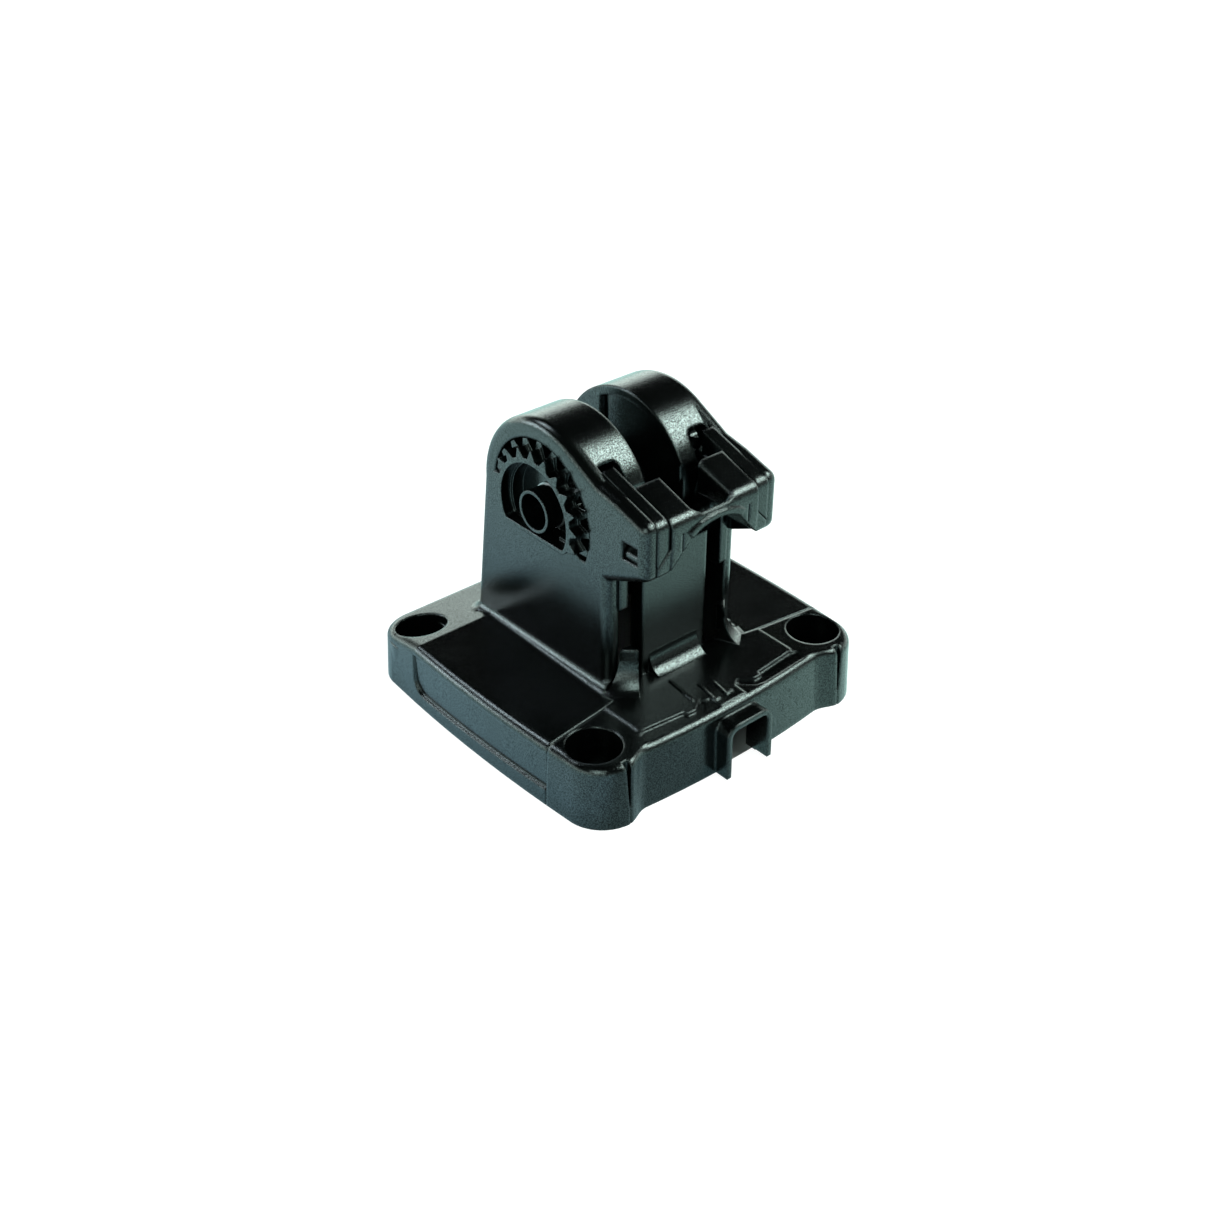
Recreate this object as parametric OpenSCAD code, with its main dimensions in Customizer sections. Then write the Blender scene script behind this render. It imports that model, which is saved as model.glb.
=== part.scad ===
// Quick-release tilt mount for a small marine display.
// A skirted base and pedestal in two shells carry two toothed hub buttons,
// which a spring-loaded front lever draws in to free the display's arms.
// Millimetres. Origin: centre of the base, on the mounting surface. Front is -Y.

/* [Base] */
// Width of the base across its bowed sides
base_w = 110; // [108:1:116]
// Depth of the base, front lobe to rear edge
base_d = 108; // [107:1:114]
// Height of the base deck
base_h = 20; // [18:0.5:22]
// How far the rear edge of the deck falls
deck_fall = 5; // [3:0.5:7]
// Where the deck starts to fall, behind the centre
fall_y = 29; // [26:1:32]
// Corner radius of the base
corner_r = 12.5; // [10:0.5:14]
// Bow of the base sides
side_bow = 1.6; // [0.5:0.1:2.5]
// Wall of the base skirt
skirt_wall = 3; // [2.5:0.1:3.5]
// Thickness of the deck
deck_t = 3; // [2.5:0.1:3.5]
// Radius of the deck's rounded edge
deck_r = 2.5; // [1.5:0.1:2.8]
// Inward draft of the skirt, floor to deck
skirt_draft = 0.8; // [0.2:0.1:1.2]
// How far the front face steps back between the lobes
lobe_step = 2.4; // [1:0.1:3]
// Forward bow of the front face
front_bow = 1.8; // [0.5:0.1:2.2]
// Height of the ledge under the skirt's side panel
panel_z = 4.2; // [3:0.1:6]
// Depth of the skirt's side panel
panel_depth = 0.8; // [0.5:0.1:1]

/* [Base screws] */
// Screw spacing across the base
screw_dx = 86; // [80:1:88]
// Screw spacing front to rear
screw_dy = 81; // [78:1:82]
// Radius of the screw holes
screw_hole_r = 2.7; // [2.2:0.1:3]
// Radius of the screw-head recesses
recess_r = 8; // [7:0.1:8.4]
// Height of the recess floor over the mounting surface
recess_floor = 6; // [4:0.5:8]
// Outer radius of the screw bosses
boss_r = 10; // [9.6:0.1:10.4]

/* [Pedestal and head] */
// Half width of the pedestal and head
head_x = 24.5; // [23.5:0.1:26]
// Inner half width between the side walls
inner_x = 20.4; // [20:0.1:21]
// Rounding of the shell's outer edges
edge_r = 2.6; // [1.5:0.1:2.8]
// Front edge of the pedestal's side walls
ped_front = -24.3; // [-24.8:0.1:-24]
// Rear face of the pedestal at deck height
ped_rear = 37; // [34:0.5:39]
// Wall of the pedestal's rear face
rear_wall = 3.5; // [3:0.1:4]
// Radius of the fillet at the pedestal's foot
foot_r = 3; // [2:0.1:3.5]
// Front face of the head
head_front = -39.6; // [-41:0.1:-39]
// Height where the head's sloping top meets its front
brow_z = 79.2; // [79:0.1:80]
// Slope of the head's top, degrees
brow_slope = 18.2; // [17.5:0.1:19]
// Underside of the head at the front
chin_z = 62; // [61:0.1:62.5]
// Underside of the head at the pedestal
throat_z = 56.3; // [56:0.1:57]

/* [Hub] */
// Hub axis behind the centre of the base
hub_y = 4; // [3.8:0.1:4.2]
// Hub axis over the mounting surface
hub_z = 67; // [66.8:0.1:67.4]
// Radius of the two drums
drum_r = 26.6; // [26:0.1:27]
// Half width of the slot between the drums
slot_x = 6.9; // [6:0.1:7.5]
// Radius of the dished inner face of a drum
dish_r = 23.8; // [22.5:0.1:24]
// Depth of the dished inner face
dish_depth = 1.5; // [1:0.1:2]
// Wall between the dish and the button's bore
hub_wall = 1.6; // [1.4:0.1:2]
// Lower end of the drums' front faces
drum_foot_z = 79; // [78:0.5:80]
// Half width of the drum strip beside the slot
strip_x = 12.6; // [12:0.1:13]

/* [Ratchet buttons] */
// Radius of the D-shaped cup
cup_r = 15.7; // [15.2:0.1:15.9]
// Cup's flat under the hub axis
cup_flat = 8; // [7.9:0.1:8.6]
// Corner radius of the cup
cup_corner = 3; // [2:0.1:3.5]
// Thickness of the cup's rim
cup_wall = 1.2; // [1:0.1:1.3]
// Radius over the tips of the teeth
tip_r = 20.6; // [20:0.1:20.8]
// Radius over the tips of the rim's spikes
spike_r = 18.7; // [18:0.1:19.5]
// Radius at the roots of the teeth
root_r = 16; // [15.9:0.1:16.4]
// Teeth in a full turn
teeth = 20; // [18:1:22]
// Angle of the first tooth, at the rear
teeth_start = 17; // [15:1:19]
// Number of teeth
tooth_count = 11; // [9:1:11]
// How far the rim stands out of the side wall
rim_out = 2.7; // [2:0.1:3]
// Depth of the toothed ring
ring_depth = 6.2; // [5.5:0.1:6.6]
// Thickness of the cup's floor
floor_t = 1.8; // [1.4:0.1:2.2]
// Inner face of the cup's floor from the centre
floor_x = 18.2; // [17.6:0.1:18.6]
// Clearance round a button
button_gap = 0.4; // [0.3:0.05:0.6]
// Travel of a button
button_travel = 3; // [2:0.1:3.1]

/* [Hub sleeves] */
// Outer radius of a sleeve
sleeve_r = 6.3; // [5.8:0.1:6.6]
// Wall of a sleeve
sleeve_wall = 0.9; // [0.7:0.1:1.2]
// Running clearance of the cup on its sleeve
running_gap = 0.08; // [0.05:0.01:0.1]
// Thickness of a retaining clip
clip_t = 0.8; // [0.6:0.1:1]
// Depth of the groove that a clip sits in
clip_seat = 0.35; // [0.2:0.05:0.5]

/* [Release lever] */
// Half width of the lever between the side frames
lever_x = 15.8; // [15.6:0.1:16.1]
// Half width of the lever's lower cheeks
cheek_x = 20.1; // [19.6:0.1:20.2]
// Half width of the lever's top pocket
pocket_x = 6.8; // [6:0.1:7.4]
// Front face of the lever
lever_front = -40.8; // [-41.5:0.1:-40.4]
// Rear end of the lever's top faces
lever_rear = -26; // [-27:0.1:-25.6]
// Height of the finger arch
arch_top = 75; // [74:0.1:75.4]
// Lever pivot ahead of the centre
pivot_y = -22.2; // [-22.4:0.1:-22.1]
// Lever pivot over the mounting surface
pivot_z = 63.5; // [63:0.1:64]
// Radius of the lever's pivot pin
pin_r = 1.75; // [1.5:0.05:1.9]
// Radius of the lever's pivot barrel
barrel_r = 3; // [2.8:0.1:3.1]

/* [Side frames] */
// Inner face of a side frame
frame_x = 16.3; // [16.2:0.1:16.6]
// Inner face of a frame's leg
leg_x = 17.6; // [17.2:0.1:18]
// Lower end of a frame's leg
leg_foot = 45; // [43:0.5:47]
// Width of the snap window
window_w = 6.2; // [5:0.1:7]
// Height of the snap window
window_h = 5.4; // [4.6:0.1:5.8]

/* [Front shell] */
// Front face of the pedestal's centre wall
wall_y = -25.2; // [-25.6:0.1:-25]
// Thickness of the centre wall
wall_t = 3; // [2.4:0.1:3.2]
// Half width of the centre wall
wall_x = 12; // [11:0.1:12.6]
// Top of the centre wall
wall_top = 59.4; // [58:0.1:59.8]
// Height of the corner buttresses
buttress_z = 33; // [30:0.5:35]
// How far a buttress stands ahead of the wall
buttress_out = 3.8; // [3:0.1:5]
// How far the foot of a buttress flares
flare_out = 6.6; // [5:0.1:7]
// Rise of the deck's pad
pad_rise = 0.4; // [0.2:0.1:0.6]
// Gap at the seam between the shells
seam_gap = 0.25; // [0.1:0.05:0.4]

/* [Cable hood] */
// Width of the cable hood
hood_w = 17.5; // [14:0.5:20]
// How far the hood's foot stands ahead of the base
hood_out = 4; // [3:0.1:5]
// Top of the hood
hood_z = 17.6; // [16:0.1:18]
// Wall of the hood
hood_wall = 1.6; // [1.2:0.1:2]

/* [Screws and springs] */
// Radius of a shell screw
shell_screw_r = 1.5; // [1.25:0.05:1.75]
// Radius of a shell screw's head
shell_head_r = 2.8; // [2.4:0.1:3]
// Radius of the boss that takes a shell screw
tie_boss_r = 3.5; // [3:0.1:4]
// Underside of the flange that a shell screw clamps
flange_z = 6; // [5:0.5:7]
// Thickness of that flange
flange_t = 3; // [2.5:0.1:3.5]
// Wire radius of a button spring
spring_wire = 0.5; // [0.4:0.05:0.6]
// Mean radius of a button spring
spring_r = 7.7; // [7.5:0.1:7.8]
// Turns of a button spring
spring_turns = 4; // [3:1:4]
// Wire radius of the lever spring
torsion_wire = 0.6; // [0.5:0.05:0.7]

/* [Hidden] */
$fn = 72;
big = 200;
black = [0.05, 0.05, 0.055];
plan_fn = 10;
fillet_steps = 5;

half_w = base_w / 2;
half_d = base_d / 2;
screw_y = [-screw_dy / 2, screw_dy / 2];
bore_x = slot_x + dish_depth + hub_wall;
rim_x = head_x + rim_out;
ring_x = rim_x - ring_depth;
brow_tan = tan(brow_slope);
pitch = 360 / teeth;
teeth_end = teeth_start + (tooth_count - 1) * pitch;
clip_x = floor_x + floor_t + 0.2;
fin_x = 15.2;
fin_y = -9.3;
fin_z = 77;
spring_half = 5;
tie_x = 40;
tie_y = -25;

// ---- helpers -------------------------------------------------------------

// Points along an arc, from angle a0 to a1 in n steps.
function arc(cx, cy, r, a0, a1, n) =
    [for (i = [0 : n]) let (a = a0 + (a1 - a0) * i / n) [cx + r * cos(a), cy + r * sin(a)]];

// A closed outline moved inwards by d; its points run anticlockwise.
function inset(pts, d) = let (n = len(pts)) [for (i = [0 : n - 1])
    let (u = unit(pts[i] - pts[(i + n - 1) % n]), v = unit(pts[(i + 1) % n] - pts[i]),
        a = [-u.y, u.x], b = [-v.y, v.x])
    pts[i] + (a + b) * d / (1 + a * b)];
function unit(v) = v / norm(v);

// Height of the deck at a place front to rear.
function deck_z(y) = base_h - max(0, y - fall_y) * deck_fall / (half_d - fall_y);

// Top line of the head at a place front to rear.
function brow(y) = brow_z + (y - head_front) * brow_tan;

// Side faces of a skin over m outlines of n points each.
function skin_sides(n, m) = [for (k = [0 : m - 2]) for (i = [0 : n - 1]) let (j = (i + 1) % n)
    each [[k * n + i, (k + 1) * n + i, (k + 1) * n + j], [k * n + i, (k + 1) * n + j, k * n + j]]];

// Triangles from point c to each side of the outline of n points that starts at index k.
function fan(c, k, n, up) = [for (i = [0 : n - 1]) let (j = (i + 1) % n)
    up ? [c, k + j, k + i] : [c, k + i, k + j]];

function mean(pts) = [for (p = pts) 1] * pts / len(pts);

// A solid skinned over a list of outlines that have the same number of points.
module skin(rings) {
    n = len(rings[0]);
    m = len(rings);
    polyhedron(concat([for (r = rings) each r], [mean(rings[0]), mean(rings[m - 1])]),
        concat(skin_sides(n, m), fan(m * n, 0, n, false), fan(m * n + 1, (m - 1) * n, n, true)));
}

// Extrudes an outline drawn front-to-rear and upwards, from x0 to x1.
module yz(x0, x1) {
    translate([x0, 0, 0]) rotate([90, 0, 90]) linear_extrude(x1 - x0) children();
}

// The same solid on both sides.
module both_sides() {
    children();
    mirror([1, 0, 0]) children();
}

// ---- base ----------------------------------------------------------------

// One half of the base outline, from the middle of the front round to the rear.
function half_outline(d) = let (
        yc = half_d - corner_r, x_end = half_w - side_bow - d, r = corner_r - d,
        lobe_in = 34 - d, lobe_out = 42 - d, face = -half_d + lobe_step + d)
    concat(
        [for (x = [0 : 5]) let (t = x / 5) [lobe_in * t, face - front_bow * (1 - t * t)]],
        [for (i = [1 : 5]) let (t = i / 5) [lobe_in + (lobe_out - lobe_in) * t,
            face - lobe_step * (1 - cos(180 * t)) / 2]],
        arc(x_end - r, -yc, r, -78, 0, plan_fn),
        [for (i = [1 : 7]) let (y = -yc + (yc + fall_y) * i / 8)
            [half_w - d - side_bow * pow(y / yc, 2), y]],
        [[half_w - d - side_bow * pow(fall_y / yc, 2), fall_y]],
        arc(x_end - r, yc, r, 0, 90, plan_fn));

function base_outline(d) = let (h = half_outline(d), n = len(h))
    concat([for (p = h) p], [for (i = [n - 1 : -1 : 1]) [-h[i].x, h[i].y]]);

function lift(pts, drop) = [for (p = pts) [p.x, p.y, deck_z(p.y) - drop]];
function flat(pts, z) = [for (p = pts) [p.x, p.y, z]];

// The solid base: drafted skirt, rounded edge, level deck and falling rear deck.
module base_block() {
    rings = concat([flat(base_outline(0), 0)],
        [for (i = [0 : fillet_steps]) let (a = 90 * i / fillet_steps)
            lift(base_outline(skirt_draft + deck_r * (1 - cos(a))), deck_r * (1 - sin(a)))]);
    h = len(half_outline(0));
    n = 2 * h - 1;
    m = len(rings);
    top = (m - 1) * n;
    level = h - plan_fn - 2;
    polyhedron(concat([for (r = rings) each r], [[0, 0, 0], [0, 0, base_h]]), concat(
        skin_sides(n, m),
        fan(m * n, 0, n, false),
        [for (f = fan(m * n + 1, top, n, true)) if (min(f[1], f[2]) < top + level
            || max(f[1], f[2]) > top + n - level) f],
        [[m * n + 1, top + n - level, top + level]],
        [for (i = [level : h - 2]) [top + n - i, top + n - i - 1, top + i + 1, top + i]]));
}

// The hollow under the deck.
module base_hollow(wall = skirt_wall) {
    intersection() {
        translate([0, 0, -1]) linear_extrude(base_h) polygon(base_outline(skirt_draft + wall));
        yz(-half_w, half_w) polygon([[-half_d, -1], [-half_d, base_h - deck_t],
            [fall_y, base_h - deck_t], [half_d, base_h - deck_t - deck_fall], [half_d, -1]]);
    }
}

module at_screws(rows) {
    for (sx = [-1, 1]) for (y = rows) translate([sx * screw_dx / 2, y, 0]) children();
}

// Plan of the front shell's share of the base, drawn in by half the seam.
module front_plan(gap) {
    edge = [[half_w + 2, -33.2], [30, -29.8], [25.4, -29], [inner_x, wall_y]];
    seam = concat([for (p = edge) [p.x, p.y - gap]],
        [for (i = [len(edge) - 1 : -1 : 0]) [-edge[i].x, edge[i].y - gap]]);
    polygon(concat(seam, [[-half_w - 2, -big], [half_w + 2, -big]]));
}

// ---- pedestal and head skin ----------------------------------------------

function rear_y(z) = ped_rear + (hub_y + drum_r - ped_rear) * (z - base_h) / (hub_z - base_h);

// Side outline of pedestal, drum and head, front to rear and upwards.
function side_outline() = let (z0 = base_h - 5, join = -20)
    concat([[rear_y(z0), z0]],
        arc(hub_y, hub_z, drum_r, 0, 117, 39),
        [[join, brow(join) - 1.1], [-28, brow(-28) - 0.2]],
        arc(head_front + 3, brow(head_front + 3) - 3.2, 3, 90 + brow_slope, 180, 4),
        arc(head_front + 2.8, chin_z + 2.8, 2.8, 180, 247, 3),
        [[ped_front, throat_z], [ped_front, z0]]);

// The outer skin of pedestal and head with rounded side edges.
module head_skin() {
    outline = side_outline();
    edge = [for (i = [0 : fillet_steps]) let (a = 90 * i / fillet_steps)
        [head_x - edge_r * (1 - sin(a)), edge_r * (1 - cos(a))]];
    rings = concat([for (i = [fillet_steps : -1 : 0]) [-edge[i][0], edge[i][1]]], edge);
    skin([for (r = rings) [for (p = inset(outline, r[1])) [r[0], p.x, p.y]]]);
}

// Concave fillet between the pedestal's foot and the deck.
module foot_fillet() {
    front = ped_front - 8;
    rear = rear_y(base_h) - 0.1;
    w = head_x - 0.1;
    r = edge_r;
    plan = concat([[-w, front], [w, front]], arc(w - r, rear - r, r, 0, 90, 4),
        arc(-w + r, rear - r, r, 90, 180, 4));
    rings = concat([[for (p = inset(plan, -foot_r)) [p.x, p.y, base_h - deck_t - deck_fall + 2]]],
        [for (i = [0 : 4]) let (a = 90 * i / 4)
            [for (p = inset(plan, -foot_r * (1 - sin(a)))) [p.x, p.y, deck_z(p.y) + foot_r * (1 - cos(a))]]],
        [[for (p = inset(plan, 1)) [p.x, p.y, base_h + foot_r]]]);
    skin(rings);
}

// Outline of the drums' housing between the side walls.
module housing_plan() {
    difference() {
        polygon(arc(hub_y, hub_z, drum_r + 0.01, -30, 210, 80));
        translate([hub_y - big, 0]) square([big - drum_r + 3.7, drum_foot_z]);
    }
}

// Front faces of the drums, and everything ahead of them.
module ahead_of_drums() {
    a0 = 117;
    a1 = 180 - asin((drum_foot_z - hub_z) / drum_r);
    polygon(concat(arc(hub_y, hub_z, drum_r, a0, a1, 12),
        [[hub_y + drum_r * cos(a1), drum_foot_z - 1], [-big, drum_foot_z - 1], [-big, big],
        [hub_y + drum_r * cos(a0), big]]));
}

// The D-shaped cup's outline, about the hub axis.
function cup_outline(grow) = let (r = cup_r + grow, f = cup_flat + grow, c = cup_corner + grow,
        cy = -f + c, cx = sqrt(pow(r - c, 2) - cy * cy), a = atan2(-cy, cx))
    concat(arc(0, 0, r, -a, 180 + a, 36), arc(-cx, cy, c, 180 + a, 270, 5),
        arc(cx, cy, c, 270, 360 - a, 5));

// The sector that holds the teeth, about the hub axis, from radius r0 to r1.
function sector(r0, r1, a0, a1) = concat(arc(0, 0, r1, a0, a1, 40), arc(0, 0, r0, a1, a0, 12));

// The opening that a button slides in.
module button_plan(grow) {
    translate([hub_y, hub_z]) {
        polygon(cup_outline(grow));
        intersection() {
            polygon(sector(cup_r / 2, tip_r + grow, teeth_start - pitch * 0.55, teeth_end + pitch / 2));
            translate([-big, -cup_flat - grow]) square(2 * big);
        }
    }
}

// ---- parts ---------------------------------------------------------------

module rear_shell() {
    color(black) difference() {
        union() {
            difference() {
                base_block();
                base_hollow();
                translate([0, 0, -1]) linear_extrude(big) front_plan(-seam_gap / 2);
            }
            intersection() {
                union() {
                    foot_fillet();
                    head_skin();
                }
                union() {
                    translate([-big / 2, ped_front, 1]) cube([big, big, big]);
                    translate([-big / 2, -big, base_h + 20]) cube([big, big + ped_front + 1, big]);
                }
            }
            at_screws([screw_y[1]]) cylinder(r = boss_r, h = boss_top(screw_y[1]));
            at_ties(flange_z + flange_t) cylinder(r = tie_boss_r, h = base_h - 1.5 - flange_z - flange_t);
        }
        at_ties(flange_z) cylinder(r = shell_screw_r, h = base_h - deck_t - 1 - flange_z);
        both_sides() skirt_panel();
        pedestal_hollow();
        both_sides() drum_cuts();
        yz(-slot_x, slot_x) polygon([[-big, base_h + 20], [hub_y + drum_r - 6, base_h + 20],
            [hub_y + drum_r + 3, hub_z + 2], [hub_y + drum_r + 3, big], [-big, big]]);
        at_screws([screw_y[1]]) screw_cut();
    }
}

// The cavity of the pedestal and the space for lever and frames in the head.
module pedestal_hollow() {
    yz(-inner_x, inner_x) difference() {
        polygon([[ped_front - 1, -1], [rear_y(0) - rear_wall, -1],
            [rear_y(54) - rear_wall, 54], [rear_y(54) - rear_wall, drum_foot_z],
            [-big, drum_foot_z], [-big, base_h + 5], [ped_front - 1, base_h + 5]]);
        housing_plan();
    }
    yz(-inner_x, inner_x) ahead_of_drums();
}

module drum_cuts() {
    yz(bore_x, rim_x) button_plan(button_gap);
    yz(slot_x - 1, slot_x + dish_depth) intersection() {
        translate([hub_y, hub_z]) circle(dish_r);
        translate([-big, hub_z - cup_flat]) square([big + 15, big]);
    }
    translate([0, hub_y, hub_z]) rotate([0, 90, 0]) cylinder(r = sleeve_r, h = head_x);
    translate([0, -9, 0]) rotate([90, 0, 0]) linear_extrude(big) polygon(concat(
        [[strip_x, drum_foot_z - 2.5], [inner_x, drum_foot_z - 2.5]],
        arc(inner_x - 2, drum_foot_z + 5.1, 2, 0, 90, 4),
        arc(strip_x + 2, drum_foot_z + 5.1, 2, 90, 180, 4)));
    snap_y = head_front + 3 + window_w / 2;
    yz(inner_x - 1, head_x + 1) translate([snap_y - window_w / 2, chin_z + 5])
        square([window_w, window_h]);
}

// A screw boss reaches into the deck.
function boss_top(y) = deck_z(y + boss_r) - deck_t / 2;

module screw_cut() {
    translate([0, 0, -1]) cylinder(r = screw_hole_r, h = base_h);
    translate([0, 0, recess_floor]) cylinder(r = recess_r, h = base_h);
}

module at_ties(z) {
    both_sides() translate([tie_x, tie_y, z]) children();
}

// Sunken panel along the side of the skirt.
module skirt_panel() {
    r = 5;
    difference() {
        yz(half_w / 2, half_w + 1) polygon(concat(
            [[-screw_dy / 2, base_h - deck_r - 0.3], [-screw_dy / 2, panel_z + 1], [-32, panel_z + 1]],
            arc(fall_y + 1 - r, panel_z + r, r, -90, 0, 5),
            [[fall_y + 1, base_h - deck_r - 0.3]]));
        translate([0, 0, -1]) linear_extrude(base_h) polygon(base_outline(skirt_draft / 2 + panel_depth));
    }
}

module front_shell() {
    color(black) difference() {
        union() {
            difference() {
                intersection() {
                    base_block();
                    translate([0, 0, -1]) linear_extrude(big) front_plan(seam_gap / 2);
                }
                base_hollow();
            }
            hood_form(0);
            centre_wall();
            intersection() {
                union() {
                    both_sides() buttress();
                    deck_pad();
                }
                translate([0, 0, 1]) linear_extrude(big) front_plan(seam_gap / 2);
            }
            intersection() {
                at_screws([screw_y[0]]) cylinder(r = boss_r, h = boss_top(screw_y[0]));
                translate([0, 0, -1]) linear_extrude(big) intersection() {
                    polygon(base_outline(skirt_draft + 1));
                    front_plan(seam_gap / 2);
                }
            }
            both_sides() translate([tie_x - 4.5, screw_y[0] + 6, flange_z])
                cube([9, tie_y + 4.5 - screw_y[0] - 6, flange_t]);
            cable_ribs();
        }
        hood_form(hood_wall);
        at_screws([screw_y[0]]) screw_cut();
        both_sides() cable_channel();
        both_sides() corner_slit();
        at_ties(flange_z - 1) cylinder(r = shell_screw_r + 0.1, h = flange_t + 2);
    }
}

// Wall between the side slots, with returns behind it and a fillet at its foot.
module centre_wall() {
    depth = 4.5;
    translate([-wall_x, wall_y, base_h - 1]) cube([2 * wall_x, wall_t, wall_top - base_h + 1]);
    both_sides() translate([wall_x - 1.8, wall_y + 0.5, base_h - 1])
        cube([1.8, depth, throat_z - base_h - 1]);
    fillet = 5;
    yz(-wall_x + 2.8, wall_x - 2.8) difference() {
        translate([wall_y - fillet, base_h - 0.5]) square(fillet + 0.5);
        translate([wall_y - fillet, base_h + fillet]) circle(fillet);
    }
}

// Upright rib at each front corner of the pedestal, flared at its foot.
module buttress() {
    nose = [wall_x + 4.75, wall_y - buttress_out];
    plan = [[inner_x - 0.1, wall_y + 0.5], [nose.x, wall_y + 0.5], [nose.x, wall_y], nose,
        [inner_x - 0.1, wall_y]];
    skin(concat(
        [[for (p = flare(plan, flare_out)) [p.x, p.y, base_h - 0.6]]],
        [for (i = [0 : 6]) let (a = 90 * i / 6)
            [for (p = flare(plan, flare_out * (1 - sin(a)))) [p.x, p.y, base_h + 12 * (1 - cos(a))]]],
        [[for (p = plan) [p.x, p.y, buttress_z]]]));
}

// A buttress outline spread outwards over its outer and front faces only.
function flare(plan, d) = [plan[0] + [d, 0], plan[1], plan[2], plan[3] + [0.57 * d, -0.8 * d],
    plan[4] + [0.79 * d, -0.74 * d]];

// Hood over the cable slot; drawn in by d it is the slot itself.
module hood_form(d) {
    w = hood_w / 2 - d;
    foot = -half_d - hood_out;
    r = 4 - d;
    top = hood_z - d;
    low = 0.3 - d;
    arch = concat([[-w, low]], arc(-w + r, top - r, r, 180, 90, 5), arc(w - r, top - r, r, 90, 0, 5),
        [[w, low]]);
    difference() {
        translate([0, -half_d + 4 + d, 0]) rotate([90, 0, 0]) linear_extrude(14) polygon(arch);
        if (d == 0) yz(-w - 1, w + 1) polygon([[foot, -2], [foot - big, -2], [foot - big, big],
            [foot + 0.4, hood_z + 1], [foot, 2]]);
    }
}

// Tapered slit where each corner lobe meets the front face.
module corner_slit() {
    x = 41.3;
    translate([x, -half_d - 1, 0]) rotate([90, 0, 0]) mirror([0, 0, 1]) linear_extrude(4)
        polygon([[-0.35, 5.8], [0.35, 5.8], [1.1, base_h + 1], [-1.1, base_h + 1]]);
    translate([x - 0.15, -half_d - 1, -1]) cube([0.3, 1.8, 8]);
}

// Raised pad on the deck round the foot of the pedestal.
module deck_pad() {
    half = [[4.8, -50.6], [5, -46], [7.5, -46], [12, -48.8], [28, -47], [30, -43.6], [30.5, -20]];
    translate([0, 0, base_h - 0.3]) linear_extrude(0.3 + pad_rise)
        polygon(concat(half, [for (i = [len(half) - 1 : -1 : 0]) [-half[i].x, half[i].y]]));
}

// Low ribs that guide the cable over the pad.
module cable_ribs() {
    w = 0.7;
    translate([0, 0, base_h - 0.3]) linear_extrude(0.8 + pad_rise) {
        polygon([[-9.9, -44], [-9.9 + w, -44], [-8.3 + w, -32.5], [-8.3, -32.5]]);
        polygon([[-4.8, -48], [-2.7, -48], [-2.7, -48 + w], [-4.8 + w, -48 + w], [-3.2 + w, -39],
            [-3.2, -39]]);
        polygon([[-0.5, -48], [2.3, -47.6], [2.3, -47.6 + w], [-0.5 + w, -48 + w], [0.8 + w, -41],
            [0.8, -41]]);
    }
}

// Shallow channel ahead of the pad on each side of the cable's way.
module cable_channel() {
    translate([0, 0, base_h - 0.6]) linear_extrude(3)
        polygon([[5.9, -45.4], [10.2, -49.5], [13.2, -50.1], [30.6, -49], [30.9, -45.4], [28.4, -44.5],
            [14.5, -45.9], [14.3, -47.2], [11.6, -47.3], [7.5, -44.4]]);
}

// Frame inside each side of the head; its tab snaps into the side wall's window.
module side_frame() {
    x1 = inner_x - 0.1;
    front = head_front - 0.4;
    top = [for (y = [-17.6, head_front + 3.2]) [y, brow(y) - 0.2]];
    body = concat([[-17.6, 76.5], [-17.6, 78]], top,
        arc(front + 3, brow(front + 3) - 3.4, 3, 90 + brow_slope, 180, 4),
        [[front, 66.4], [wall_y, 65.4], [wall_y, 64], [-19.2, 64], [-19.2, 76.5]]);
    leg = [[wall_y, 66], [wall_y, leg_foot + 1.2], [wall_y + 1, leg_foot], [-20.4, leg_foot],
        [-19.2, 60], [-19.2, 66]];
    color(black) difference() {
        union() {
            yz(frame_x, x1) polygon(body);
            yz(leg_x, x1) polygon(leg);
            snap_tab(x1);
        }
        kink_cut();
        translate([0, pivot_y, pivot_z]) rotate([0, 90, 0]) cylinder(r = pin_r + 0.02, h = big);
    }
}

// Slanted lower edge of the frame's front.
module kink_cut() {
    translate([0, wall_y - 0.8, 0]) rotate([90, 0, 0]) linear_extrude(big)
        polygon([[frame_x - 1, kink_z(frame_x - 1)], [inner_x + 1, kink_z(inner_x + 1)],
            [inner_x + 1, 60], [frame_x - 1, 60]]);
}

// Height of the slanted line where frame and lever cheek meet.
function kink_z(x) = 70.6 - (x - frame_x) * 1.066;

module snap_tab(x1) {
    gap = 0.3;
    y = head_front + 3 + gap;
    z = chin_z + 5 + gap;
    translate([0, y + window_w - 2 * gap, z]) rotate([90, 0, 0]) linear_extrude(window_w - 2 * gap)
        polygon([[x1 - 1, 0], [head_x - 0.8, 0], [head_x - 0.8, 1.4], [x1, window_h - 2 * gap],
            [x1 - 1, window_h - 2 * gap]]);
}

module side_frame_left() {
    mirror([1, 0, 0]) side_frame();
}

module side_frame_right() {
    side_frame();
}

// ---- release lever -------------------------------------------------------

module release_lever() {
    color(black) difference() {
        union() {
            difference() {
                union() {
                    yz(-lever_x, lever_x) polygon(lever_profile());
                    yz(-cheek_x, cheek_x) polygon(cheek_profile());
                }
                lever_pocket();
                finger_arch();
                both_sides() cheek_bevel();
                both_sides() translate([11.9, lever_front - 1, 69]) cube([0.6, 2.4, 5.5]);
            }
            yz(-lever_x, lever_x) translate([pivot_y, pivot_z]) circle(barrel_r);
            both_sides() {
                lever_web();
                cam_fin();
            }
            arch_lip();
        }
        translate([-big / 2, pivot_y, pivot_z]) rotate([0, 90, 0])
            cylinder(r = pin_r + running_gap, h = big);
        spring_pocket();
    }
}

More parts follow.
